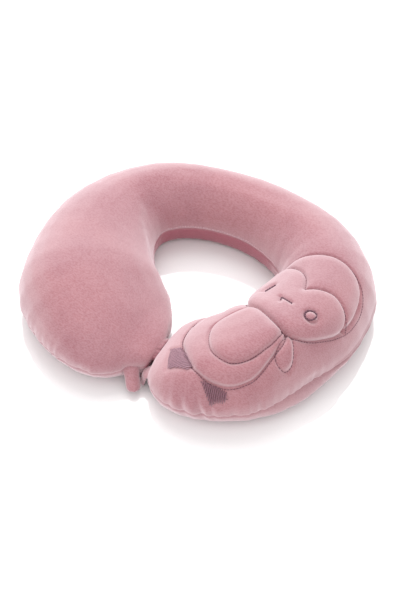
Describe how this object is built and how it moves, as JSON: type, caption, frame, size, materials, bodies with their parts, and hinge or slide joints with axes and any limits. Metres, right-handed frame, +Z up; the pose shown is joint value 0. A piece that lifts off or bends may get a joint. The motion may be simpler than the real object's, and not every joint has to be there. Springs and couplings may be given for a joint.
{
  "type": "u shaped neck pillow",
  "caption": "Child's u shaped neck pillow in plush velour with a quilted penguin on one arm, a concealed zip and closing tabs at the lobe ends.",
  "frame": {"origin": "bottom centre of the pillow's bounding box, on the resting face", "axes": "+Z up, +Y towards the back of the U, +X towards the arm with the penguin and the zip"},
  "size_m": [0.259, 0.2194, 0.0557],
  "materials": {
    "plush": "short pile velour, dusty pink",
    "liner": "thin woven cotton",
    "foam": "open cell foam, matte",
    "wadding": "soft polyester wadding",
    "piping": "stitched seam allowance",
    "thread": "plum sewing thread",
    "satin_light": "satin stitch, light mauve",
    "satin_dark": "satin stitch, dark plum",
    "zip_tape": "woven tape",
    "zip_teeth": "moulded coil",
    "strap": "woven tab",
    "stud": "moulded, pink",
    "metal": "nickel finish"
  },
  "bodies": {
    "right": {"cover_top_right": "plush", "cover_bottom_right": "plush", "liner_right": "liner", "foam_core_right": "foam", "seam_cord_back_right": "piping", "seam_cord_front_right": "piping", "neck_stitch_right": "thread", "wadding_head": "wadding", "wadding_body": "wadding", "wadding_belly": "wadding", "stitch_head": "thread", "stitch_face": "thread", "stitch_body": "thread", "stitch_belly": "thread", "stitch_flipper": "thread", "eye_right": "thread", "eye_left": "thread", "beak": "thread", "foot_left": "satin_light", "foot_right": "satin_dark", "zip_tape_upper": "zip_tape", "zip_tape_lower": "zip_tape", "zip_teeth_upper": "zip_teeth", "zip_teeth_lower": "zip_teeth", "zip_stop_top": "metal", "zip_stop_bottom": "metal"},
    "left": {"cover_top_left": "plush", "cover_bottom_left": "plush", "liner_left": "liner", "foam_core_left": "foam", "seam_cord_left": "piping", "neck_stitch_left": "thread"},
    "tab_left": {"strap_left": "strap", "stud_socket": "stud"},
    "tab_right": {"strap_right": "strap", "stud_knob": "stud"},
    "slider": {"zip_slider": "metal"},
    "pull": {"zip_pull": "metal"}
  },
  "joints": [
    {"name": "arms_spread", "type": "hinge", "parent": "right", "child": "left", "pos_m": [0.00133, 0.11, 0], "axis": [0, 0, -1], "range_deg": [0, 30], "stiffness_Nm_per_rad": 1.5},
    {"name": "tab_left_flap", "type": "hinge", "parent": "left", "child": "tab_left", "pos_m": [-0.00337, -0.08506, 0.0116], "axis": [-0.7826, -0.6225, 0], "range_deg": [-3, 60]},
    {"name": "tab_right_flap", "type": "hinge", "parent": "right", "child": "tab_right", "pos_m": [0.00673, -0.07606, 0.0122], "axis": [-0.2588, 0.9659, 0], "range_deg": [-6, 25]},
    {"name": "zip_run", "type": "hinge", "parent": "right", "child": "slider", "pos_m": [0.04663, 0.01674, 0.0138], "axis": [0, 0, -1], "range_deg": [0, 71]},
    {"name": "pull_swing", "type": "hinge", "parent": "slider", "child": "pull", "pos_m": [0.09003, 0.09098, 0.0138], "axis": [0.8633, -0.5047, 0], "range_deg": [-5, 150]}
  ]
}
